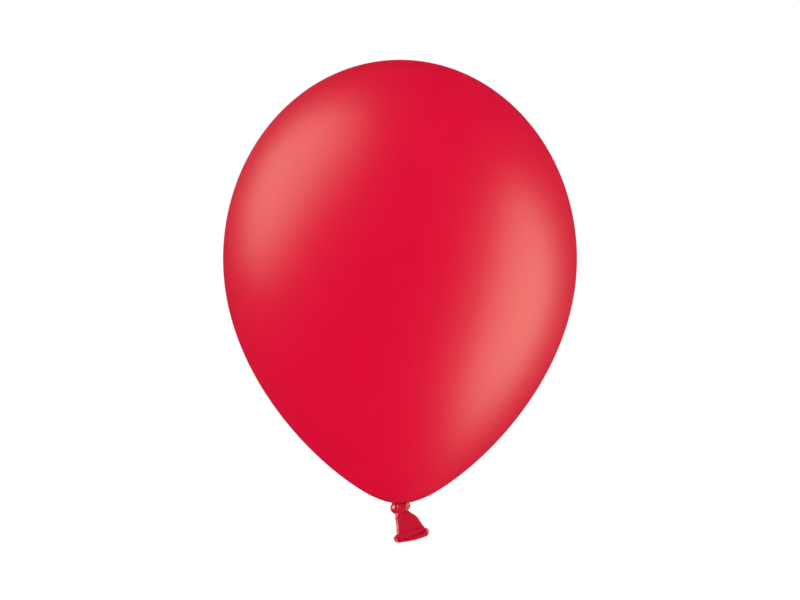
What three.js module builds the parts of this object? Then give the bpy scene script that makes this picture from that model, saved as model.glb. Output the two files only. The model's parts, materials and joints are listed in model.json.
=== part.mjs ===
// A tied latex party balloon, in millimetres, +Z up through the crown.
//
// A balloon is one dipped film. It is built here as the stretches that look and move apart:
// the inflated film, the pinched throat, the knot's loop and the strand tucked over it, and
// below the knot the stem, the flattened tail and the rolled lip round its mouth.
// The origin is the neck tie, where the film closes on the throat.

import * as THREE from "three";
import { LoftGeometry } from "three/addons/geometries/LoftGeometry.js";

// ---------------------------------------------------------------- driving dimensions

const CLEARANCE = 0.3; // between neighbours, so that each stays its own solid

// Inflated film: a half ellipse over the widest level, one cubic from there to the nose.
const FILM_RADIUS = 150;
const CROWN_RISE = 167.5; // widest level to crown
const NOSE_DROP = 209.5; // widest level to neck tie
const SHOULDER_PULL = 118.8; // how far the side runs straight down before it turns in
const NOSE_PULL = 35.5; // how far the nose runs level before it turns up
const FILM_WALL = 0.3;

// Throat: the pinched neck, gripped by the knot.
const THROAT_RADIUS = 1.5;
const THROAT_INSIDE = 2.0; // how far it stands up inside the film
const THROAT_LENGTH = 5.0; // how far it runs down into the knot
const THROAT_ROUNDING = 0.6;

// Knot loop: one turn of neck round the throat, drooping on its left.
const LOOP_SIDE = 3.25; // half its thickness at the left and right lobes
const LOOP_FRONT = 2.35; // half its thickness at the front and back
const LOOP_DEPTH = 6.4; // from its upper edge, level with the neck tie, to its lower edge
const LOOP_DROOP = 1.0; // how much deeper the left lobe hangs, and the right one less

// Tucked strand: the end of the neck where it crosses the front of the loop.
const TUCK_THICKNESS = 1.8;
const TUCK_HALF_SWEEP = 32; // degrees round the loop, each side of its middle
const TUCK_MIDDLE = 280; // degrees, where 270 is the front
const TUCK_FROM = 28; // degrees over the loop's section, where 0 points outwards
const TUCK_TO = -55;

// Stem: the gathered root of the tail, a half disc that turns on the tail's pivot.
const STEM_RADIUS = 5.5;
const STEM_THICKNESS = 3.6;
const STEM_RISE = 0.5; // how far it comes up past the loop's lower edge

// Tail: flattened neck, leaning to the right, widening to its open mouth.
const TAIL_LEAN = 23.4; // degrees from straight down
const TAIL_ASIDE = 3.6; // pivot to the right of the neck tie
const TAIL_FORWARD = 2.5; // pivot in front of the neck tie
const TAIL_LENGTH = 14.9; // pivot to the middle of the rim
const TAIL_ROOT_HALF_WIDTH = 7.4;
const TAIL_ROOT_HALF_DEPTH = 2.3;
const TAIL_WALL = 0.8;
const TAIL_ROOT_SOLID = 3.0; // closed length above the hollow

// Mouth and lip: the mouth's outline runs along the middle of the wall and of the bead.
const MOUTH_HALF_WIDTH = 13.5;
const MOUTH_HALF_DEPTH = 3.0;
const MOUTH_SLANT = 10.4; // degrees, how far the mouth turns back towards level
const MOUTH_FACING = 50; // degrees, how far the mouth turns up to the front
const MOUTH_FORWARD = 1.4; // how far the rim stands in front of the stem
const LIP_RADIUS = 1.8;

// Facets.
const FILM_SIDES = 56;
const CROWN_STEPS = 14;
const NOSE_STEPS = 20;
const THROAT_SIDES = 20;
const LOOP_SIDES = 36;
const LOOP_SECTION_SIDES = 16;
const TUCK_SECTION_SIDES = 14;
const TUCK_STEPS = 10;
const STEM_CURVE_STEPS = 12;
const STEM_BEVEL_STEPS = 3;
const OVAL_END_POINTS = 11;
const TAIL_STEPS = 9;
const LIP_SECTION_SIDES = 12;

// ---------------------------------------------------------------- materials

const stretchedFilm = new THREE.MeshStandardMaterial({
  name: "stretched_film",
  color: 0xdd0a35,
  roughness: 0.38,
  metalness: 0,
});

const slackFilm = new THREE.MeshStandardMaterial({
  name: "slack_film",
  color: 0xc41c35,
  roughness: 0.45,
  metalness: 0,
});

// ---------------------------------------------------------------- helpers

const radians = THREE.MathUtils.degToRad;
const lerp = THREE.MathUtils.lerp;

function namedMesh(name, geometry, material) {
  const mesh = new THREE.Mesh(geometry, material.clone());
  mesh.name = name;
  return mesh;
}

// A profile moved in by the wall, square to the outline. It runs from the crown down.
function insetProfile(profile, wall) {
  const last = profile.length - 1;
  return profile.map((point, i) => {
    const before = profile[Math.max(i - 1, 0)];
    const after = profile[Math.min(i + 1, last)];
    const along = after.clone().sub(before).normalize();
    return new THREE.Vector2(Math.max(point.x + along.y * wall, 0), point.y - along.x * wall);
  });
}

// An oval with straight sides and round ends. Each point has its outward normal.
function oval(halfWidth, halfDepth) {
  const points = [];
  for (const side of [1, -1]) {
    for (let i = 0; i < OVAL_END_POINTS; i++) {
      const angle = radians(-90 + (180 * i) / (OVAL_END_POINTS - 1));
      const normal = new THREE.Vector2(side * Math.cos(angle), side * Math.sin(angle));
      const at = normal.clone().multiplyScalar(halfDepth);
      at.x += side * (halfWidth - halfDepth);
      points.push({ at, normal });
    }
  }
  return points;
}

// ---------------------------------------------------------------- inflated film

const widestLevel = NOSE_DROP;
const filmHole = THROAT_RADIUS + CLEARANCE;

function filmProfile() {
  const outline = [];
  for (let i = 0; i < CROWN_STEPS; i++) {
    const angle = ((Math.PI / 2) * i) / CROWN_STEPS;
    const x = FILM_RADIUS * Math.sin(angle);
    outline.push(new THREE.Vector2(x, widestLevel + CROWN_RISE * Math.cos(angle)));
  }
  const side = new THREE.CubicBezierCurve(
    new THREE.Vector2(FILM_RADIUS, widestLevel),
    new THREE.Vector2(FILM_RADIUS, widestLevel - SHOULDER_PULL),
    new THREE.Vector2(NOSE_PULL, 0),
    new THREE.Vector2(filmHole, 0),
  );
  outline.push(...side.getPoints(NOSE_STEPS));
  return outline;
}

function makeFilm() {
  const outer = filmProfile();
  const inner = insetProfile(outer, FILM_WALL);
  const shell = new THREE.LatheGeometry([...inner, ...outer.reverse()], FILM_SIDES);
  shell.rotateX(Math.PI / 2);
  return namedMesh("balloon_film", shell, stretchedFilm);
}

// ---------------------------------------------------------------- throat

function makeThroat() {
  const profile = [
    new THREE.Vector2(0, -THROAT_LENGTH),
    new THREE.Vector2(THROAT_RADIUS - THROAT_ROUNDING, -THROAT_LENGTH),
    new THREE.Vector2(THROAT_RADIUS, -THROAT_LENGTH + THROAT_ROUNDING),
    new THREE.Vector2(THROAT_RADIUS, THROAT_INSIDE - THROAT_ROUNDING),
    new THREE.Vector2(THROAT_RADIUS - THROAT_ROUNDING, THROAT_INSIDE),
    new THREE.Vector2(0, THROAT_INSIDE),
  ];
  const strand = new THREE.LatheGeometry(profile, THROAT_SIDES);
  strand.rotateX(Math.PI / 2);
  return namedMesh("neck_throat", strand, slackFilm);
}

// ---------------------------------------------------------------- knot

// A point on the loop, or `lift` outside it: `around` turns about the throat, and `over` turns
// about the loop's own middle from outwards to up.
function loopPoint(around, over, lift) {
  const halfThickness =
    (LOOP_SIDE + LOOP_FRONT) / 2 + ((LOOP_SIDE - LOOP_FRONT) / 2) * Math.cos(2 * around);
  const halfHeight = (LOOP_DEPTH - LOOP_DROOP * Math.cos(around)) / 2;
  const middle = THROAT_RADIUS + CLEARANCE + halfThickness;
  const radius = middle + (halfThickness + lift) * Math.cos(over);
  const height = (halfHeight + lift) * Math.sin(over) - halfHeight;
  return new THREE.Vector3(radius * Math.cos(around), radius * Math.sin(around), height);
}

function makeKnotLoop() {
  const sections = [];
  for (let i = 0; i <= LOOP_SIDES; i++) {
    const around = (2 * Math.PI * (i % LOOP_SIDES)) / LOOP_SIDES;
    const section = [];
    for (let j = 0; j < LOOP_SECTION_SIDES; j++) {
      const over = (-2 * Math.PI * j) / LOOP_SECTION_SIDES;
      section.push(loopPoint(around, over, 0));
    }
    sections.push(section);
  }
  return namedMesh("knot_loop", new LoftGeometry(sections), slackFilm);
}

function makeKnotTuck() {
  const sections = [];
  for (let i = 0; i <= TUCK_STEPS; i++) {
    const over = radians(lerp(TUCK_FROM, TUCK_TO, i / TUCK_STEPS));
    const section = [];
    for (let j = 0; j < TUCK_SECTION_SIDES; j++) {
      const turn = (2 * Math.PI * j) / TUCK_SECTION_SIDES;
      const around = radians(TUCK_MIDDLE + TUCK_HALF_SWEEP * Math.cos(turn));
      const lift = CLEARANCE + (TUCK_THICKNESS * (1 + Math.sin(turn))) / 2;
      section.push(loopPoint(around, over, lift));
    }
    sections.push(section);
  }
  const strand = new LoftGeometry(sections, { capStart: true, capEnd: true });
  return namedMesh("knot_tuck", strand, slackFilm);
}

// ---------------------------------------------------------------- tail
// The pieces below are in the tail's own frame: the origin is its pivot, Z runs back up the
// tail, X across it, and Y through it.

function makeStem() {
  const rounding = STEM_THICKNESS / 2;
  const outline = new THREE.Shape();
  outline.absarc(0, 0, STEM_RADIUS - rounding, 0, Math.PI, false);
  outline.closePath();
  const disc = new THREE.ExtrudeGeometry(outline, {
    depth: CLEARANCE,
    bevelThickness: rounding - CLEARANCE / 2,
    bevelSize: rounding,
    bevelSegments: STEM_BEVEL_STEPS,
    curveSegments: STEM_CURVE_STEPS,
  });
  disc.translate(0, 0, -CLEARANCE / 2);
  disc.rotateX(Math.PI / 2);
  return namedMesh("tail_stem", disc, slackFilm);
}

// Where a cross-section of the tail lies: 0 at the root, 1 at the rim.
function tailPlane(along) {
  const facing = radians(MOUTH_FACING) * along * along;
  const slant = radians(MOUTH_SLANT) * along;
  const across = new THREE.Vector3(Math.cos(slant), 0, -Math.sin(slant));
  const down = new THREE.Vector3(-Math.sin(slant), 0, -Math.cos(slant));
  const back = new THREE.Vector3(0, 1, 0);
  const through = back.clone().multiplyScalar(Math.cos(facing));
  through.addScaledVector(down, Math.sin(facing));
  const out = down.clone().multiplyScalar(Math.cos(facing));
  out.addScaledVector(back, -Math.sin(facing));
  const rootDrop = STEM_THICKNESS / 2 + CLEARANCE;
  const drop = lerp(rootDrop, TAIL_LENGTH, along);
  const middle = new THREE.Vector3(0, -MOUTH_FORWARD * along * along, -drop);
  return { middle, across, through, out };
}

function tailPoint(plane, x, y) {
  const point = plane.middle.clone();
  point.addScaledVector(plane.across, x);
  return point.addScaledVector(plane.through, y);
}

// A cross-section of the tail's outside, or of its hollow when `wall` is taken off.
function tailSection(plane, along, wall) {
  const halfWidth = lerp(TAIL_ROOT_HALF_WIDTH, MOUTH_HALF_WIDTH + TAIL_WALL / 2, along);
  const halfDepth = lerp(TAIL_ROOT_HALF_DEPTH, MOUTH_HALF_DEPTH + TAIL_WALL / 2, along);
  const outline = oval(halfWidth - wall, halfDepth - wall);
  return outline.map(({ at }) => tailPoint(plane, at.x, -at.y));
}

function makeTail() {
  const hollowAlong = TAIL_ROOT_SOLID / TAIL_LENGTH;
  const sections = [];
  for (let i = 0; i <= TAIL_STEPS; i++) {
    const along = i / TAIL_STEPS;
    sections.push(tailSection(tailPlane(along), along, 0));
  }
  for (let i = TAIL_STEPS; i >= 0; i--) {
    const along = lerp(hollowAlong, 1, i / TAIL_STEPS);
    sections.push(tailSection(tailPlane(along), along, TAIL_WALL));
  }
  const floor = tailPlane(hollowAlong).middle;
  sections.push(sections[0].map(() => floor.clone()));
  return namedMesh("neck_tail", new LoftGeometry(sections, { capStart: true }), slackFilm);
}

function makeLip() {
  const plane = tailPlane(1);
  plane.middle.addScaledVector(plane.out, LIP_RADIUS + CLEARANCE);
  const outline = oval(MOUTH_HALF_WIDTH, MOUTH_HALF_DEPTH);
  const sections = [...outline, outline[0]].map(({ at, normal }) => {
    const section = [];
    for (let j = 0; j < LIP_SECTION_SIDES; j++) {
      const turn = (2 * Math.PI * j) / LIP_SECTION_SIDES;
      const outwards = LIP_RADIUS * Math.cos(turn);
      const point = tailPoint(plane, at.x + normal.x * outwards, at.y + normal.y * outwards);
      section.push(point.addScaledVector(plane.out, LIP_RADIUS * Math.sin(turn)));
    }
    return section;
  });
  return namedMesh("rolled_lip", new LoftGeometry(sections), slackFilm);
}

// ---------------------------------------------------------------- assembly

const knot = new THREE.Group();
knot.add(makeKnotLoop(), makeKnotTuck());

const tail = new THREE.Group();
tail.position.set(TAIL_ASIDE, -TAIL_FORWARD, STEM_RISE - LOOP_DEPTH - STEM_RADIUS);
tail.rotation.y = -radians(TAIL_LEAN);
tail.add(makeStem(), makeTail(), makeLip());

const balloon = new THREE.Group();
balloon.name = "latex_balloon";
balloon.add(makeFilm(), makeThroat(), knot, tail);

export default balloon;
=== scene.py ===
"""A tied latex party balloon: inflated film, gathered throat, knot, flattened tail and rolled lip.

Sizes are in millimetres and meshes are scaled to metres as they become pieces. The origin is
the neck tie, +Z runs up through the crown, and -Y is the front.
"""

from __future__ import annotations

import json
import logging
import math
from dataclasses import dataclass
from enum import Enum
from typing import Callable, Sequence

import bmesh
import bpy
from mathutils import Matrix, Vector
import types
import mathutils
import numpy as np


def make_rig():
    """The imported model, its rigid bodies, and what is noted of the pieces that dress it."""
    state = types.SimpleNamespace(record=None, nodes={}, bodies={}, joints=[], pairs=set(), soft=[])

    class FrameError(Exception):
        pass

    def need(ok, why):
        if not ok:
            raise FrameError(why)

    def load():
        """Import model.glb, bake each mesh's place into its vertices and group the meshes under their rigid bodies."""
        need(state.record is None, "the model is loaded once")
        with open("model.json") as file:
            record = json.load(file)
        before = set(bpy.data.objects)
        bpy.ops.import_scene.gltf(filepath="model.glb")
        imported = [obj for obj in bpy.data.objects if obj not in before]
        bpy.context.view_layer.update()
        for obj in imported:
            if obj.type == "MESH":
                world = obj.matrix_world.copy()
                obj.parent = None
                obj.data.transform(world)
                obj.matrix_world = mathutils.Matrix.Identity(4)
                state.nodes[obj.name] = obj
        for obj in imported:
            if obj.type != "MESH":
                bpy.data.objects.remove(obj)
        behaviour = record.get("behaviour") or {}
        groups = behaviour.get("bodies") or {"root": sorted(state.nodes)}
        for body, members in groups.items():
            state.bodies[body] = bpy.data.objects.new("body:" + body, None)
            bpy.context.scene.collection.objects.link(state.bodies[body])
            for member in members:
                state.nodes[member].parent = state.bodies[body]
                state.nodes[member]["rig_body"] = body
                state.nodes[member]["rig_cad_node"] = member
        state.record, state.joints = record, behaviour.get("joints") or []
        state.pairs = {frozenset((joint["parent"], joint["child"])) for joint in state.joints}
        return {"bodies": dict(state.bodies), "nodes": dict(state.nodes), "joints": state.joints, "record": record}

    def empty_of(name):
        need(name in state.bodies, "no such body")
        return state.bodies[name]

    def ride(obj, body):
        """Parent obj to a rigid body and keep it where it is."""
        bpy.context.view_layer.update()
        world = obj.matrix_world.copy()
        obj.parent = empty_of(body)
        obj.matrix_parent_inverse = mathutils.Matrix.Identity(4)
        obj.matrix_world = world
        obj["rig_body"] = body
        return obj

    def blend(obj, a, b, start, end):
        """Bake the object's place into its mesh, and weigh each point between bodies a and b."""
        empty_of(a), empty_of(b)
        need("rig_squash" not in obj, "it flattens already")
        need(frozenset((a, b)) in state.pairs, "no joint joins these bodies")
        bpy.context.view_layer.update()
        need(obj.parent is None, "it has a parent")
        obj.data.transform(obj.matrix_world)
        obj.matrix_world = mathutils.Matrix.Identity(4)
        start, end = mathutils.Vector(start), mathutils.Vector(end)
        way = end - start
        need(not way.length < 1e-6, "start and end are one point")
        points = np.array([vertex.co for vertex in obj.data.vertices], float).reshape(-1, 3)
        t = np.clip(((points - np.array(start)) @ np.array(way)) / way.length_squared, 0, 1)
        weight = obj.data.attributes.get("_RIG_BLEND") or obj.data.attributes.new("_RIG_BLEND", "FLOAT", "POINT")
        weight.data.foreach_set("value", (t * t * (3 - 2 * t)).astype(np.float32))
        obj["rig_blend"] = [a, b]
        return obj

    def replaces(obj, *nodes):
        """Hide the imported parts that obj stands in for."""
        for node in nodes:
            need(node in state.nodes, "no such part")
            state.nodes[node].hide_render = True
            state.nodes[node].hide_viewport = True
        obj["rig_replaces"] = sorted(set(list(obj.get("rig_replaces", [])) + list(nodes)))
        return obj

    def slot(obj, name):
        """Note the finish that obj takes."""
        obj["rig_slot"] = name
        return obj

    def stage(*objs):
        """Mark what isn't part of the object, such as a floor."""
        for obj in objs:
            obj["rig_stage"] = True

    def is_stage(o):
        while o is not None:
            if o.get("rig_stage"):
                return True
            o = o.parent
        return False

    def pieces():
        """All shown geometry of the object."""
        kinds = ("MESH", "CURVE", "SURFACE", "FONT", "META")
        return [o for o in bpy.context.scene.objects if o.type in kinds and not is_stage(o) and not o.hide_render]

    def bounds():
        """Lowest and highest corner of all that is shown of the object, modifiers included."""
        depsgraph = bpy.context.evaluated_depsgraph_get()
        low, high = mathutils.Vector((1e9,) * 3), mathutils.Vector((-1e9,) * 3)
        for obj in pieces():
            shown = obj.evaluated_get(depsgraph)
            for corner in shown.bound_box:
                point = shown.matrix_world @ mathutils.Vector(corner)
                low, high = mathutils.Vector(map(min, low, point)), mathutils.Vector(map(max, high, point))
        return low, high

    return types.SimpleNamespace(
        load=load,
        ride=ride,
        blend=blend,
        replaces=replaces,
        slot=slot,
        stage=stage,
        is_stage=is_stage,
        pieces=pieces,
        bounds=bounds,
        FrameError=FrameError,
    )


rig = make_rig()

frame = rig.load()

LOG = logging.getLogger("balloon")
MM = 0.001
TURN = 2 * math.pi
# Edges folded by more than this, in radians, are shaded as sharp rims.
RIM_ANGLE = 1.0

Place = Callable[[float, float], Vector]


class Body(Enum):
    """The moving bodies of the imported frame."""

    BALLOON = "balloon"
    KNOT = "knot"
    STEM = "stem"
    TAIL = "tail"


class Slot(Enum):
    """The record's material slots."""

    STRETCHED = "stretched_film"
    SLACK = "slack_film"


# ---------------------------------------------------------------- small tools


def linear(code: str) -> tuple[float, float, float, float]:
    """Turn an sRGB hex colour into linear light.

    Args:
        code: Six hex digits after a hash.

    Returns:
        Red, green, blue and a full alpha.
    """
    parts = [int(code[i : i + 2], 16) / 255 for i in (1, 3, 5)]
    light = [c / 12.92 if c <= 0.04045 else ((c + 0.055) / 1.055) ** 2.4 for c in parts]
    return (light[0], light[1], light[2], 1.0)


def ease(value: float, low: float, high: float) -> float:
    """Rise smoothly from 0 at low to 1 at high.

    Args:
        value: Where to read the step.
        low: Where it starts.
        high: Where it ends; below low for a falling step.

    Returns:
        A share from 0 to 1.
    """
    share = min(max((value - low) / (high - low), 0.0), 1.0)
    return share * share * (3 - 2 * share)


def through_stations(stations: Sequence[tuple[float, float]], at: float) -> float:
    """Read a smooth curve through stations, held level past its ends.

    Args:
        stations: Pairs of place and value, in order of place.
        at: The place to read.

    Returns:
        The value there.
    """
    if at <= stations[0][0]:
        return stations[0][1]
    for i in range(len(stations) - 1):
        (x0, y0), (x1, y1) = stations[i], stations[i + 1]
        if at <= x1:
            xa, ya = stations[max(i - 1, 0)]
            xb, yb = stations[min(i + 2, len(stations) - 1)]
            slope0, slope1 = (y1 - ya) / (x1 - xa), (yb - y0) / (xb - x0)
            span, t = x1 - x0, (at - x0) / (x1 - x0)
            near = (1 + 2 * t) * (1 - t) ** 2 * y0 + t * t * (3 - 2 * t) * y1
            return near + span * t * (1 - t) * ((1 - t) * slope0 - t * slope1)
    return stations[-1][1]


def crease(angle: float, width: float) -> float:
    """Give the depth of a fold line that repeats once a turn.

    Args:
        angle: Turn from the line, in radians.
        width: Half width of the line, in radians.

    Returns:
        1 in the line, falling to 0 beside it.
    """
    away = abs((angle + math.pi) % TURN - math.pi) / width
    return math.exp(-away * away)


def spun(profile: Sequence[tuple[float, float]], sides: int) -> bmesh.types.BMesh:
    """Spin a chain of points about the upright axis.

    Args:
        profile: Radius and height of each point.
        sides: Faces round the axis.

    Returns:
        The surface, with the points on the axis merged.
    """
    bm = bmesh.new()
    chain = [bm.verts.new((radius, 0, height)) for radius, height in profile]
    edges = [bm.edges.new(pair) for pair in zip(chain, chain[1:])]
    bmesh.ops.spin(
        bm,
        geom=chain + edges,
        cent=(0, 0, 0),
        axis=(0, 0, 1),
        dvec=(0, 0, 0),
        angle=TURN,
        steps=sides,
        use_merge=True,
    )
    bmesh.ops.remove_doubles(bm, verts=bm.verts[:], dist=1e-5)
    return bm


def strand(rings: int, sides: int, length: float, girth: float, place: Place) -> bmesh.types.BMesh:
    """Form an open tube, and keep the film's own lie on it for its pattern.

    Args:
        rings: Steps along the tube.
        sides: Steps round it.
        length: The tube's length, for the pattern.
        girth: The tube's mean radius, for the pattern.
        place: Gives a point from its turn in radians and its share along the tube.

    Returns:
        The tube. Ends that meet are merged.
    """
    bm = spun([(1.0, i / rings) for i in range(rings + 1)], sides)
    lie = bm.verts.layers.float_vector.new("lie")
    for vert in bm.verts:
        turn, along = math.atan2(vert.co.y, vert.co.x), vert.co.z
        around = Vector((math.cos(turn), math.sin(turn), 0)) * girth
        vert[lie] = (around + Vector((0, 0, along * length))) * MM
        vert.co = place(turn, along)
    bmesh.ops.remove_doubles(bm, verts=bm.verts[:], dist=1e-5)
    return bm


def close_ends(bm: bmesh.types.BMesh) -> list[bmesh.types.BMFace]:
    """Close every open edge of a tube with one face an end, and give those faces.

    Args:
        bm: The tube.

    Returns:
        The new end faces.
    """
    rim = [edge for edge in bm.edges if edge.is_boundary]
    return bmesh.ops.holes_fill(bm, edges=rim, sides=0)["faces"]


def make_piece(
    name: str, bm: bmesh.types.BMesh, material: bpy.types.Material, slot: Slot
) -> bpy.types.Object:
    """Turn a mesh in millimetres into a smooth piece in metres.

    Args:
        name: The piece's name.
        bm: Its mesh, which is freed.
        material: Its finish.
        slot: The record's slot of that finish.

    Returns:
        The object, at the origin.
    """
    bmesh.ops.recalc_face_normals(bm, faces=bm.faces[:])
    bmesh.ops.scale(bm, vec=(MM, MM, MM), verts=bm.verts[:])
    for face in bm.faces:
        face.smooth = True
    for edge in bm.edges:
        edge.smooth = not edge.is_manifold or edge.calc_face_angle() < RIM_ANGLE
    mesh = bpy.data.meshes.new(name)
    bm.to_mesh(mesh)
    bm.free()
    mesh.materials.append(material)
    piece = bpy.data.objects.new(name, mesh)
    bpy.context.scene.collection.objects.link(piece)
    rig.slot(piece, slot.value)
    LOG.info("%s: %d faces", name, len(mesh.polygons))
    return piece


def add_node(
    tree: bpy.types.NodeTree,
    kind: str,
    settings: dict[str, object] | None = None,
    inputs: dict[str | int, object] | None = None,
) -> bpy.types.Node:
    """Add a node with its settings and links.

    Args:
        tree: Where it goes.
        kind: The node's type.
        settings: Its own properties.
        inputs: A number or colour for a socket, or the socket that feeds it.

    Returns:
        The node.
    """
    node = tree.nodes.new(kind)
    for key, value in (settings or {}).items():
        setattr(node, key, value)
    for key, value in (inputs or {}).items():
        if isinstance(value, bpy.types.NodeSocket):
            tree.links.new(value, node.inputs[key])
        else:
            node.inputs[key].default_value = value
    return node


def new_material(name: str) -> bpy.types.Material:
    """Make an empty node material.

    Args:
        name: Its name.

    Returns:
        The material, with no nodes.
    """
    material = bpy.data.materials.new(name)
    material.use_nodes = True
    material.node_tree.nodes.clear()
    return material


# ---------------------------------------------------------------- finishes


@dataclass(frozen=True)
class StretchedLatex:
    """Dipped natural latex, pigmented and stretched tight by the air inside.

    The eye gets a smooth satin skin: one even, saturated red with wide soft highlights, a
    little deeper where the film is less stretched at the nose and the crown.
    """

    colour: str = "#dd0a35"
    deep: str = "#c90a31"
    bloom: str = "#e01238"
    roughness: float = 0.45
    ior: float = 1.52
    nose_fade_mm: float = 9.0
    crown_fade_mm: float = 16.0
    cloud_mm: float = 24.0
    peel_mm: float = 1.6
    peel_depth_mm: float = 0.012

    def material(self, crown_mm: float) -> bpy.types.Material:
        """Build the finish.

        Args:
            crown_mm: Height of the crown.

        Returns:
            The material.
        """
        made = new_material("dipped_latex_stretched")
        tree = made.node_tree
        coords = add_node(tree, "ShaderNodeTexCoord")
        height = add_node(tree, "ShaderNodeSeparateXYZ", None, {0: coords.outputs["Object"]})
        nose = add_node(
            tree,
            "ShaderNodeMapRange",
            {"interpolation_type": "SMOOTHSTEP"},
            {"Value": height.outputs["Z"], "From Min": 0.0, "From Max": self.nose_fade_mm * MM},
        )
        crown = add_node(
            tree,
            "ShaderNodeMapRange",
            {"interpolation_type": "SMOOTHSTEP"},
            {
                "Value": height.outputs["Z"],
                "From Min": crown_mm * MM,
                "From Max": (crown_mm - self.crown_fade_mm) * MM,
                "To Min": 0.8,
            },
        )
        stretch = add_node(
            tree, "ShaderNodeMath", {"operation": "MULTIPLY"}, {0: nose.outputs[0], 1: crown.outputs[0]}
        )
        clouds = add_node(
            tree,
            "ShaderNodeTexNoise",
            None,
            {"Vector": coords.outputs["Object"], "Scale": 1 / (self.cloud_mm * MM), "Detail": 3.0},
        )
        body = add_node(
            tree,
            "ShaderNodeMix",
            {"data_type": "RGBA"},
            {0: stretch.outputs[0], 6: linear(self.deep), 7: linear(self.colour)},
        )
        amount = add_node(
            tree,
            "ShaderNodeMapRange",
            None,
            {"Value": clouds.outputs[0], "From Min": 0.35, "From Max": 0.75, "To Max": 0.35},
        )
        tinted = add_node(
            tree,
            "ShaderNodeMix",
            {"data_type": "RGBA"},
            {0: amount.outputs[0], 6: body.outputs[2], 7: linear(self.bloom)},
        )
        gloss = add_node(
            tree,
            "ShaderNodeMapRange",
            None,
            {
                "Value": clouds.outputs[0],
                "From Min": 0.3,
                "From Max": 0.7,
                "To Min": self.roughness - 0.012,
                "To Max": self.roughness + 0.012,
            },
        )
        peel = add_node(
            tree,
            "ShaderNodeTexNoise",
            None,
            {"Vector": coords.outputs["Object"], "Scale": 1 / (self.peel_mm * MM), "Detail": 1.0},
        )
        bump = add_node(
            tree,
            "ShaderNodeBump",
            None,
            {"Height": peel.outputs[0], "Distance": self.peel_depth_mm * MM},
        )
        shader = add_node(
            tree,
            "ShaderNodeBsdfPrincipled",
            None,
            {
                "Base Color": tinted.outputs[2],
                "Roughness": gloss.outputs[0],
                "IOR": self.ior,
                "Normal": bump.outputs[0],
            },
        )
        add_node(tree, "ShaderNodeOutputMaterial", None, {"Surface": shader.outputs[0]})
        return made


@dataclass(frozen=True)
class SlackLatex:
    """The same dipped latex left unstretched, so thicker, deeper in colour and waxier.

    The eye gets fine wrinkles along each strand, with painted shade darkening their valleys, and
    short pinkish highlights on the folds.
    """

    colour: str = "#d21a38"
    # Painted shade: the darker red that the wrinkle valleys are mixed towards.
    painted_valley_shade: str = "#c81836"
    roughness: float = 0.28
    ior: float = 1.52
    specular: float = 0.9
    wrinkle_mm: float = 0.8
    wrinkle_stretch: float = 0.16
    wrinkle_depth_mm: float = 0.01
    grain_mm: float = 0.25
    grain_depth_mm: float = 0.006

    def material(self) -> bpy.types.Material:
        """Build the finish."""
        made = new_material("dipped_latex_slack")
        tree = made.node_tree
        lie = add_node(tree, "ShaderNodeAttribute", {"attribute_name": "lie"})
        along = add_node(
            tree,
            "ShaderNodeMapping",
            None,
            {"Vector": lie.outputs["Vector"], "Scale": (1.0, 1.0, self.wrinkle_stretch)},
        )
        wrinkles = add_node(
            tree,
            "ShaderNodeTexNoise",
            None,
            {
                "Vector": along.outputs[0],
                "Scale": 1 / (self.wrinkle_mm * MM),
                "Detail": 2.0,
                "Roughness": 0.45,
            },
        )
        grain = add_node(
            tree,
            "ShaderNodeTexNoise",
            None,
            {"Vector": lie.outputs["Vector"], "Scale": 1 / (self.grain_mm * MM), "Detail": 1.0},
        )
        # Painted shade: a mask from the wrinkle noise that darkens the valleys, as if shade fell in them.
        painted_valley_shade = add_node(
            tree,
            "ShaderNodeMapRange",
            {"interpolation_type": "SMOOTHSTEP"},
            {"Value": wrinkles.outputs[0], "From Min": 0.15, "From Max": 0.8},
        )
        # The body colour is mixed towards the painted valley shade where the wrinkles are low.
        body = add_node(
            tree,
            "ShaderNodeMix",
            {"data_type": "RGBA"},
            {0: painted_valley_shade.outputs[0], 6: linear(self.painted_valley_shade), 7: linear(self.colour)},
        )
        gloss = add_node(
            tree,
            "ShaderNodeMapRange",
            None,
            {
                "Value": wrinkles.outputs[0],
                "From Min": 0.15,
                "From Max": 0.85,
                "To Min": self.roughness + 0.02,
                "To Max": self.roughness - 0.01,
            },
        )
        folds = add_node(
            tree,
            "ShaderNodeBump",
            None,
            {"Height": wrinkles.outputs[0], "Distance": self.wrinkle_depth_mm * MM},
        )
        bump = add_node(
            tree,
            "ShaderNodeBump",
            None,
            {
                "Height": grain.outputs[0],
                "Distance": self.grain_depth_mm * MM,
                "Normal": folds.outputs[0],
            },
        )
        shader = add_node(
            tree,
            "ShaderNodeBsdfPrincipled",
            None,
            {
                "Base Color": body.outputs[2],
                "Roughness": gloss.outputs[0],
                "IOR": self.ior,
                "Specular IOR Level": self.specular,
                "Normal": bump.outputs[0],
            },
        )
        add_node(tree, "ShaderNodeOutputMaterial", None, {"Surface": shader.outputs[0]})
        return made


@dataclass(frozen=True)
class MattPaper:
    """A roll of matt white paper, which gives the eye a plain white ground."""

    colour: str = "#ffffff"

    def material(self) -> bpy.types.Material:
        """Build the finish.

        Returns:
            The material.
        """
        made = new_material("matt_white_paper")
        tree = made.node_tree
        paper = add_node(tree, "ShaderNodeBsdfDiffuse", None, {"Color": linear(self.colour)})
        add_node(tree, "ShaderNodeOutputMaterial", None, {"Surface": paper.outputs[0]})
        return made


# ---------------------------------------------------------------- the balloon


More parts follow.
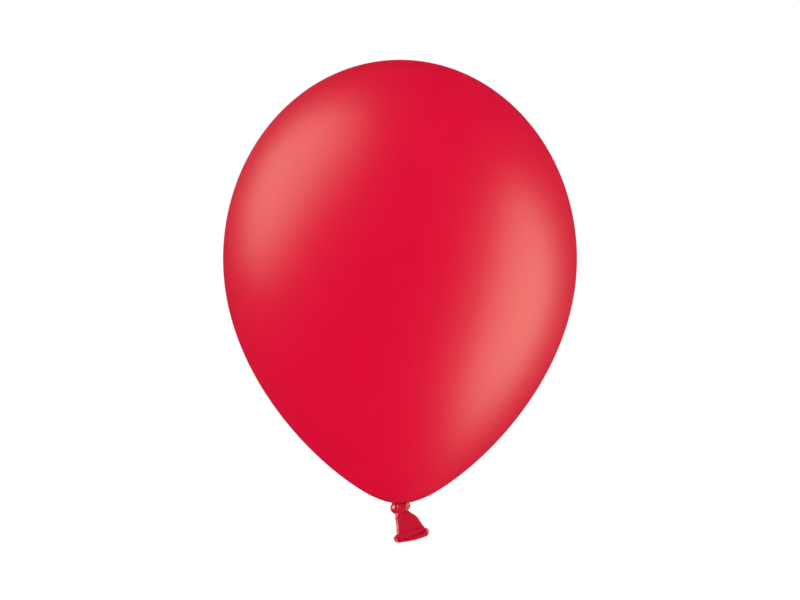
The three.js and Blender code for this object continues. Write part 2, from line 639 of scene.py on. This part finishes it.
@dataclass
class InflatedFilm:
    """The egg-shaped film and the gathered throat that it narrows to."""

    radius: float = 150.0
    crown_rise: float = 168.8
    nose_drop: float = 208.2
    shoulder_pull: float = 118.1
    nose_pull: float = 33.8
    mouth_radius: float = 1.8
    gather_rise: float = 1.35
    gather_start: float = 6.5
    gather_reach: float = 25.0
    throat_radius: float = 1.45
    throat_top: float = 0.9
    throat_length: float = 4.8
    pleats: int = 19
    pleat_reach: float = 17.0
    pleat_depth: float = 0.035
    sides: int = 190

    def outline(self) -> list[tuple[float, float]]:
        """Give radius and height of the film from the crown down to the tie.

        Returns:
            The points, from the crown down.
        """
        points = []
        steps = 52
        for i in range(steps):
            angle = math.pi / 2 * i / steps
            points.append(
                (self.radius * math.sin(angle), self.nose_drop + self.crown_rise * math.cos(angle))
            )
        steps = 96
        for i in range(steps + 1):
            t = 1 - (1 - i / steps) ** 1.7
            u = 1 - t
            handle = self.nose_drop - self.shoulder_pull
            reach = (u**3 + 3 * u * u * t) * self.radius
            reach += 3 * u * t * t * self.nose_pull + t**3 * self.mouth_radius
            lift = self.gather_rise * ease(reach, self.mouth_radius, self.gather_start)
            lift *= max(1 - reach / self.gather_reach, 0.0)
            points.append((reach, u**3 * self.nose_drop + 3 * u * u * t * handle + lift))
        return points

    def underside(self, reach: float) -> float:
        """Give the film's height near the nose, at a distance from the axis.

        Args:
            reach: Distance from the axis.

        Returns:
            The height of the film there.
        """
        heights = (
            (0.0, 0.0),
            (1.8, 0.0),
            (3.2, 0.35),
            (5.0, 1.1),
            (8.0, 1.85),
            (11.0, 2.55),
            (14.0, 3.5),
        )
        return through_stations(heights, reach)

    def film(self, material: bpy.types.Material) -> bpy.types.Object:
        """Build the film, turned in at the tie and closed inside the knot.

        Args:
            material: Its finish.

        Returns:
            The film.
        """
        low = [(1.55, -0.18), (1.4, -0.5), (1.3, -1.2), (0.0, -1.4)]
        bm = spun(self.outline() + low, self.sides)
        for vert in bm.verts:
            reach = math.hypot(vert.co.x, vert.co.y)
            if 2 < reach < self.pleat_reach and vert.co.z < self.nose_drop / 2:
                fold = 0.5 + 0.5 * math.cos(self.pleats * math.atan2(vert.co.y, vert.co.x))
                fade = (1 - reach / self.pleat_reach) ** 2
                vert.co.z += self.pleat_depth * reach * fade * (1 - fold)
        piece = make_piece("film", bm, material, Slot.STRETCHED)
        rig.replaces(piece, "balloon_film")
        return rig.ride(piece, Body.BALLOON.value)

    def throat(self, material: bpy.types.Material) -> bpy.types.Object:
        """Build the throat: the neck squeezed into a pleated cord by the knot.

        Args:
            material: Its finish.

        Returns:
            The throat.
        """

        def place(turn: float, along: float) -> Vector:
            height = self.throat_top - along * self.throat_length
            pleat = 0.12 * math.cos(9 * turn + 2.2 * along)
            reach = self.throat_radius + pleat + 0.9 * ease(height, -0.4, self.throat_top)
            return Vector((reach * math.cos(turn), reach * math.sin(turn), height))

        bm = strand(20, 108, self.throat_length, self.throat_radius, place)
        close_ends(bm)
        piece = make_piece("throat", bm, material, Slot.SLACK)
        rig.replaces(piece, "neck_throat")
        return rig.ride(piece, Body.BALLOON.value)

    def build(self, stretched: bpy.types.Material, slack: bpy.types.Material) -> None:
        """Build and dress both pieces.

        Args:
            stretched: The film's finish.
            slack: The throat's finish.
        """
        self.film(stretched)
        self.throat(slack)


@dataclass
class Knot:
    """The neck wound once round the throat, and the end that crosses its front."""

    nose: InflatedFilm
    bore: float = 1.9
    right_reach: float = 8.8
    left_reach: float = 8.2
    front_reach: float = 6.4
    right_drop: float = 5.2
    left_drop: float = 8.6
    front_drop: float = 5.8
    crest: float = 2.1
    nip: float = 0.14
    fold_depth: float = 0.42
    tuck_length: float = 11.0
    tuck_depth: tuple[tuple[float, float], ...] = (
        (0.0, -4.6),
        (1.2, -6.1),
        (2.6, -7.3),
        (4.6, -7.9),
        (6.6, -7.3),
        (8.6, -6.1),
        (11.0, -4.4),
    )
    tuck_height: tuple[tuple[float, float], ...] = (
        (0.0, 1.5),
        (1.2, 1.4),
        (2.6, 0.6),
        (4.6, -1.5),
        (6.6, -3.7),
        (8.6, -5.8),
        (11.0, -7.8),
    )

    def pressed(self, point: Vector) -> Vector:
        """Keep a point under the film, which it is pulled up against.

        Args:
            point: Where it would be.

        Returns:
            The point, lowered where the film is in its way.
        """
        limit = self.nose.underside(math.hypot(point.x, point.y)) - self.nip
        return Vector((point.x, point.y, min(point.z, limit)))

    def coil_point(self, over: float, along: float) -> Vector:
        """Give a point on the coil.

        Args:
            over: Turn round the strand; 0 faces outwards and a quarter turn faces up.
            along: Share of the way round the throat, from the right towards the back.

        Returns:
            The point.
        """
        around = along * TURN
        side, cross = math.cos(around), math.cos(2 * around)
        level = (self.right_reach + self.left_reach) / 2
        reach = (level + self.front_reach) / 2 + (level - self.front_reach) / 2 * cross
        reach += (self.right_reach - self.left_reach) / 2 * side
        low = (self.right_drop + self.left_drop) / 2
        drop = (low + self.front_drop) / 2 + (low - self.front_drop) / 2 * cross
        drop -= (self.left_drop - self.right_drop) / 2 * side
        thick = (reach - self.bore) / 2
        tall = (drop + self.crest) / 2
        left = max(-side, 0.0)
        folds = crease(over - 0.55 - 0.5 * math.sin(around), 0.2)
        folds += 0.8 * crease(over + 0.75 - 0.4 * math.cos(around - 0.6), 0.17)
        folds += 0.5 * crease(over - 1.5 + 0.3 * math.sin(2 * around), 0.15)
        swell = 1 + 0.03 * math.sin(3 * around + 0.4)
        out, up = math.cos(over), math.sin(over)
        square = 1 - 0.5 * max(up, 0.0) * ease(side, -0.2, 0.8)
        away = thick * math.copysign(abs(out) ** square, out) * swell - self.fold_depth * folds * out
        away -= thick * (0.34 + 0.4 * left) * max(-up, 0.0) ** 1.4
        rise = tall * math.copysign(abs(up) ** 0.86, up) * swell - self.fold_depth * folds * up
        reach = self.bore + thick + away
        point = Vector((reach * math.cos(around), reach * math.sin(around), self.crest - tall + rise))
        return self.pressed(point)

    def coil(self, material: bpy.types.Material) -> bpy.types.Object:
        """Build the coil.

        Args:
            material: Its finish.

        Returns:
            The coil.
        """
        bm = strand(168, 84, 32.0, 3.0, self.coil_point)
        piece = make_piece("knot_coil", bm, material, Slot.SLACK)
        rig.replaces(piece, "knot_loop")
        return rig.ride(piece, Body.KNOT.value)

    def tuck_point(self, over: float, along: float) -> Vector:
        """Give a point on the crossing end.

        Args:
            over: Turn round the strand; 0 faces right and a quarter turn faces the front.
            along: Share of the way from the nose down to the tail.

        Returns:
            The point.
        """
        down = along * self.tuck_length
        depth = through_stations(self.tuck_depth, down)
        height = through_stations(self.tuck_height, down)
        left = through_stations(((0.0, -2.0), (3.0, -2.6), (6.0, -2.9), (11.0, -3.0)), down)
        right = through_stations(
            ((0.0, 4.2), (2.6, 5.9), (5.2, 6.5), (6.8, 6.0), (8.2, 4.4), (9.4, 2.4), (11.0, 0.4)), down
        )
        facing = through_stations(((0.0, 1.3), (2.6, 0.75), (4.6, 0.0), (8.6, -0.6), (11.0, -0.8)), down)
        thick = through_stations(((0.0, 0.5), (2.6, 0.95), (6.6, 1.1), (11.0, 0.7)), down)
        half = (right - left) / 2
        across = math.copysign(abs(math.cos(over)) ** 0.8, math.cos(over))
        bead = 0.45 * ease(math.cos(over), 0.45, 0.85) + 0.3 * ease(-math.cos(over), 0.55, 0.9)
        lift = math.sin(over) * (thick + bead) - 0.3 * crease(over - 1.95, 0.12)
        point = Vector(
            (
                (left + right) / 2 + half * across,
                depth - lift * math.cos(facing),
                height + lift * math.sin(facing),
            )
        )
        point.y += 0.055 * (point.x - 1.4) ** 2
        return self.pressed(point)

    def tuck(self, material: bpy.types.Material) -> bpy.types.Object:
        """Build the crossing end.

        Args:
            material: Its finish.

        Returns:
            The crossing end.
        """
        bm = strand(72, 96, self.tuck_length, 3.0, self.tuck_point)
        close_ends(bm)
        piece = make_piece("knot_tuck_strand", bm, material, Slot.SLACK)
        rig.replaces(piece, "knot_tuck")
        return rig.ride(piece, Body.KNOT.value)

    def build(self, slack: bpy.types.Material) -> None:
        """Build and dress both pieces."""
        self.coil(slack)
        self.tuck(slack)


@dataclass
class Tail:
    """The flattened neck below the knot, from its root to the rolled lip of its mouth."""

    root: tuple[float, float, float] = (1.7, -2.5, -6.9)
    lean: float = 23.4
    above: float = 2.6
    pivot: float = 4.9
    length: float = 19.8
    left_edge: tuple[tuple[float, float], ...] = (
        (-2.6, 4.6),
        (0.9, 6.8),
        (4.4, 7.7),
        (8.0, 8.7),
        (10.8, 9.4),
        (13.3, 10.5),
        (16.4, 11.3),
        (18.2, 12.1),
        (19.8, 14.0),
    )
    right_edge: tuple[tuple[float, float], ...] = (
        (-2.6, 3.4),
        (0.7, 5.9),
        (2.8, 7.3),
        (7.7, 10.5),
        (11.5, 11.4),
        (14.0, 11.8),
        (17.0, 12.7),
        (18.5, 13.2),
        (19.8, 14.0),
    )
    half_depth: tuple[tuple[float, float], ...] = (
        (-2.6, 1.9),
        (0.0, 2.2),
        (4.9, 2.3),
        (12.0, 2.4),
        (17.0, 2.7),
        (19.8, 3.5),
    )
    slant: float = 9.4
    facing: float = 50.0
    forward: float = 1.4
    flat_rate: float = 1.7
    roll_depth: float = 0.8
    roll_width: float = 2.0
    roll_fade: float = 16.0
    wall: float = 0.45
    lip_radius: float = 1.25
    lip_out: float = 0.7
    lip_bow: float = 1.2
    bow_start: float = 18.4
    lip_swell: float = 0.85
    pinch_share: float = -0.52
    pinch_start: float = 9.0
    pinch_full: float = 17.6
    pinch_end: float = 18.3

    def plane(self, down: float) -> tuple[Vector, Vector, Vector, Vector]:
        """Give a cross-section's middle, and its directions.

        Args:
            down: Distance from the root along the middle line.

        Returns:
            The middle, and the directions across, through to the back, and out of the mouth.
        """
        share = min(max(down / self.length, 0.0), 1.0)
        late = min(max((down - self.pivot) / (self.length - self.pivot), 0.0), 1.0)
        turn = math.radians(self.lean)
        line = Vector((math.sin(turn), 0, -math.cos(turn)))
        tilt = turn - math.radians(self.slant) * share
        across = Vector((math.cos(tilt), 0, math.sin(tilt)))
        straight = Vector((math.sin(tilt), 0, -math.cos(tilt)))
        face = math.radians(self.facing) * late * late
        through = Vector((0, 1, 0)) * math.cos(face) + straight * math.sin(face)
        out = straight * math.cos(face) - Vector((0, 1, 0)) * math.sin(face)
        middle = Vector(self.root) + line * down - Vector((0, self.forward * late * late, 0))
        return middle, across, through, out

    def section(self, turn: float, down: float) -> Vector:
        """Give a point on the tail's outside.

        Args:
            turn: Turn round the section; 0 is its right edge and a quarter turn its back.
            down: Distance from the root along the middle line.

        Returns:
            The point.
        """
        middle, across, through, _ = self.plane(down)
        left = through_stations(self.left_edge, down)
        right = through_stations(self.right_edge, down)
        deep = through_stations(self.half_depth, down)
        side, back = math.cos(turn), math.sin(turn)
        half = right if side > 0 else left
        leftward = ease(-side, 0.0, 0.3)
        rounding = deep + self.roll_width * leftward * ease(down, self.length, self.roll_fade)
        flat = min(max(side * (self.flat_rate + 0.5 * leftward), -1.0), 1.0)
        reach = (half - rounding) * flat + rounding * side
        gather = ease(down, 15.0, 1.0)
        wave = 0.22 * gather * math.sin(0.95 * reach + 0.5) + 0.1 * math.sin(0.5 * reach + 0.3 * down)
        wave -= 0.35 * gather * crease(turn + 1.85, 0.1)
        edge = 1 - ease(abs(side), 0.55, 0.8)
        roll = self.roll_depth * ease(-reach, half - 4.2, half - 2.0)
        roll *= ease(down, self.length, 17.0)
        depth = (deep + roll) * back + wave * edge
        if back > 0:
            bow = self.lip_bow * back * (1 - side * side)
            depth += bow * ease(down, self.bow_start, self.length)
            pinch = ease(down, self.pinch_start, self.pinch_full)
            pinch *= ease(down, self.length, self.pinch_end)
            pinch *= 1 - ease(abs(side), 0.4, 0.85)
            pinch *= ease(back, 0.0, 0.5)
            depth += (self.pinch_share * deep - depth) * pinch
        return middle + across * reach + through * depth

    def shell(self, bm: bmesh.types.BMesh) -> None:
        """Give a tube its wall, on the inside, and close it round both rims.

        Args:
            bm: The tube, which is changed.
        """
        ends = close_ends(bm)
        bmesh.ops.recalc_face_normals(bm, faces=bm.faces[:])
        bmesh.ops.delete(bm, geom=ends, context="FACES_ONLY")
        bmesh.ops.solidify(bm, geom=bm.faces[:], thickness=self.wall)

    def stem(self, material: bpy.types.Material) -> bpy.types.Object:
        """Build the tail's gathered root, which bends sideways below the knot.

        Args:
            material: Its finish.

        Returns:
            The root.
        """
        span = self.pivot + self.above
        bm = strand(
            30, 128, span, 4.0, lambda turn, along: self.section(turn, along * span - self.above)
        )
        self.shell(bm)
        piece = make_piece("tail_root", bm, material, Slot.SLACK)
        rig.replaces(piece, "tail_stem")
        start, end = self.plane(0.0)[0] * MM, self.plane(self.pivot)[0] * MM
        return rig.blend(piece, Body.KNOT.value, Body.STEM.value, start=start, end=end)

    def skirt(self, material: bpy.types.Material) -> bpy.types.Object:
        """Build the flattened tail, which flaps at its root, open at its mouth.

        Args:
            material: Its finish.

        Returns:
            The tail.
        """
        span = self.length - self.pivot
        bm = strand(
            60, 128, span, 6.0, lambda turn, along: self.section(turn, self.pivot + along * span)
        )
        self.shell(bm)
        piece = make_piece("tail_skirt", bm, material, Slot.SLACK)
        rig.replaces(piece, "neck_tail")
        start, end = self.plane(self.pivot)[0] * MM, self.plane(self.pivot + 6.0)[0] * MM
        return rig.blend(piece, Body.STEM.value, Body.TAIL.value, start=start, end=end)

    def lip_point(self, over: float, along: float) -> Vector:
        """Give a point on the lip.

        Args:
            over: Turn round the bead; 0 faces away from the mouth's middle.
            along: Share of the way round the mouth.

        Returns:
            The point.
        """
        middle, across, through, out = self.plane(self.length)
        turn = along * TURN
        side, back = math.cos(turn), math.sin(turn)
        deep = through_stations(self.half_depth, self.length)
        half = through_stations(self.left_edge, self.length)
        flat = min(max(side * self.flat_rate, -1.0), 1.0)
        bow = self.lip_bow * max(back, 0.0) * (1 - side * side)
        at = across * ((half - deep) * flat + deep * side) + through * (deep * back + bow)
        spread = 0.2 + 0.8 * ease(abs(side), 0.3, 0.75)
        away = (across * side * spread + through * back).normalized()
        bead = self.lip_radius * (1 + 0.05 * math.sin(5 * turn + 0.8) + 0.06 * abs(side) ** 6)
        bead *= 1 - 0.25 * max(-back, 0.0)
        swell = self.lip_swell * ease(side + 0.5 * back, 0.1, 0.8)
        bead += swell
        centre = middle + at + out * self.lip_out - away * swell
        return centre + away * bead * math.cos(over) + out * bead * math.sin(over)

    def lip(self, material: bpy.types.Material) -> bpy.types.Object:
        """Build the rolled lip round the mouth.

        Args:
            material: Its finish.

        Returns:
            The lip.
        """
        bm = strand(192, 48, 62.0, self.lip_radius, self.lip_point)
        piece = make_piece("lip_roll", bm, material, Slot.SLACK)
        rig.replaces(piece, "rolled_lip")
        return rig.ride(piece, Body.TAIL.value)

    def build(self, slack: bpy.types.Material) -> None:
        """Build and dress the three pieces."""
        self.stem(slack)
        self.skirt(slack)
        self.lip(slack)


# ---------------------------------------------------------------- studio


@dataclass
class SoftLamp:
    """A soft box that hangs clear of the view and shows only in the film's gloss."""

    name: str
    towards: tuple[float, float, float]
    roll: float
    width: float
    height: float
    power: float
    distance: float = 0.95
    colour: tuple[float, float, float] = (0.92, 0.97, 0.7)

    def hang(self, aim: Vector) -> bpy.types.Object:
        """Hang the lamp.

        Args:
            aim: The point that it faces.

        Returns:
            The lamp.
        """
        data = bpy.data.lights.new(self.name, "AREA")
        data.shape = "ELLIPSE"
        data.size, data.size_y = self.width, self.height
        data.energy = self.power
        data.color = self.colour
        lamp = bpy.data.objects.new(self.name, data)
        bpy.context.scene.collection.objects.link(lamp)
        away = Vector(self.towards).normalized()
        turned = away.to_track_quat("Z", "Y").to_matrix().to_4x4()
        lamp.matrix_world = (
            Matrix.Translation(aim + away * self.distance)
            @ turned
            @ Matrix.Rotation(math.radians(self.roll), 4, "Z")
        )
        lamp.visible_camera = False
        lamp.visible_diffuse = False
        data.cycles.use_multiple_importance_sampling = False
        return lamp


@dataclass
class Studio:
    """White paper, a white sky, even fill, three soft boxes and a long lens."""

    floor_gap: float = 0.9
    floor_side: float = 20.0
    sky_level: float = 0.01
    suns: int = 18
    fill_level: float = 0.915
    fill_width: float = 80.0
    eye: tuple[float, float, float] = (0.0, -7.0, 0.1734)
    lens: float = 371.7
    sensor: float = 36.0

    def floor(self, lowest: float) -> None:
        """Lay the paper below the object.

        Args:
            lowest: The object's lowest level.
        """
        bm = bmesh.new()
        bmesh.ops.create_grid(bm, x_segments=1, y_segments=1, size=self.floor_side)
        bmesh.ops.translate(bm, vec=(0, 0, lowest - self.floor_gap), verts=bm.verts[:])
        mesh = bpy.data.meshes.new("floor")
        bm.to_mesh(mesh)
        bm.free()
        mesh.materials.append(MattPaper().material())
        floor = bpy.data.objects.new("floor", mesh)
        bpy.context.scene.collection.objects.link(floor)
        floor.visible_glossy = False
        floor.visible_diffuse = False
        floor.visible_shadow = False
        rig.stage(floor)

    def sky(self) -> None:
        """Show white beyond the paper, and leave the lighting to the lamps."""
        world = bpy.data.worlds.new("sky")
        bpy.context.scene.world = world
        world.use_nodes = True
        tree = world.node_tree
        tree.nodes.clear()
        path = add_node(tree, "ShaderNodeLightPath")
        level = add_node(
            tree,
            "ShaderNodeMapRange",
            None,
            {"Value": path.outputs["Is Camera Ray"], "To Min": self.sky_level, "To Max": 1.0},
        )
        glow = add_node(
            tree, "ShaderNodeBackground", None, {"Color": (1, 1, 1, 1), "Strength": level.outputs[0]}
        )
        add_node(tree, "ShaderNodeOutputWorld", None, {"Surface": glow.outputs[0]})

    def fill(self) -> None:
        """Set weak wide suns all round, which light the colour evenly and stay out of the gloss."""
        for i in range(self.suns):
            height = 1 - (2 * i + 1) / self.suns
            turn = i * math.pi * (3 - math.sqrt(5))
            ring = math.sqrt(1 - height * height)
            data = bpy.data.lights.new(f"fill_{i:02d}", "SUN")
            data.energy = self.fill_level * 4 * math.pi / self.suns
            data.angle = math.radians(self.fill_width)
            data.cycles.use_multiple_importance_sampling = False
            sun = bpy.data.objects.new(data.name, data)
            away = Vector((ring * math.cos(turn), ring * math.sin(turn), height))
            sun.rotation_euler = away.to_track_quat("Z", "Y").to_euler()
            sun.visible_glossy = False
            bpy.context.scene.collection.objects.link(sun)

    def slack_pieces(self) -> bpy.types.Collection:
        """Gather the slack pieces, which alone the low soft box lights.

        Returns:
            A collection of them.
        """
        finish = bpy.data.materials["dipped_latex_slack"]
        pieces = bpy.data.collections.new("slack_pieces")
        for item in bpy.context.scene.objects:
            if item.type == "MESH" and item.active_material == finish:
                pieces.objects.link(item)
        return pieces

    def lamps(self) -> None:
        """Hang the two soft boxes, and a low one that reaches under the film to the knot and tail."""
        aim = Vector((0, 0, 0.2))
        SoftLamp(
            "left_box", (-0.835, -0.009, 0.55), roll=-18.7, width=0.89, height=1.44, power=10.9
        ).hang(aim)
        SoftLamp(
            "right_box", (0.954, -0.094, -0.283), roll=0.9, width=0.86, height=1.75, power=16.35
        ).hang(aim)
        low = SoftLamp(
            "low_box",
            (-0.96, -0.2, 0.1),
            roll=0.0,
            width=0.42,
            height=0.46,
            power=1.55,
            distance=0.5,
        ).hang(Vector((0, 0, -0.012)))
        low.light_linking.receiver_collection = self.slack_pieces()

    def camera(self) -> None:
        """Stand the camera straight in front."""
        data = bpy.data.cameras.new("camera")
        data.lens, data.sensor_width = self.lens, self.sensor
        data.clip_end = 200.0
        camera = bpy.data.objects.new("camera", data)
        camera.location = self.eye
        camera.rotation_euler = (math.pi / 2, 0, 0)
        bpy.context.scene.collection.objects.link(camera)
        bpy.context.scene.camera = camera

    def build(self, lowest: float) -> None:
        """Set up the whole studio.

        Args:
            lowest: The object's lowest level.
        """
        self.floor(lowest)
        self.sky()
        self.fill()
        self.lamps()
        self.camera()


# ---------------------------------------------------------------- the whole


def main() -> None:
    """Build the balloon in its studio and note its size."""
    logging.basicConfig(level=logging.INFO, format="%(name)s: %(message)s")
    bpy.context.scene.view_settings.view_transform = "Standard"
    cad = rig.bounds()
    film = InflatedFilm()
    stretched = StretchedLatex().material(film.nose_drop + film.crown_rise)
    slack = SlackLatex().material()
    film.build(stretched, slack)
    Knot(film).build(slack)
    Tail().build(slack)
    Studio().build(cad[0].z)
    sizes = {"cad": [list(v) for v in cad], "visual": [list(v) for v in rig.bounds()]}
    with open("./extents.json", "w", encoding="utf-8") as out:
        json.dump(sizes, out)


if __name__ == "__main__":
    main()
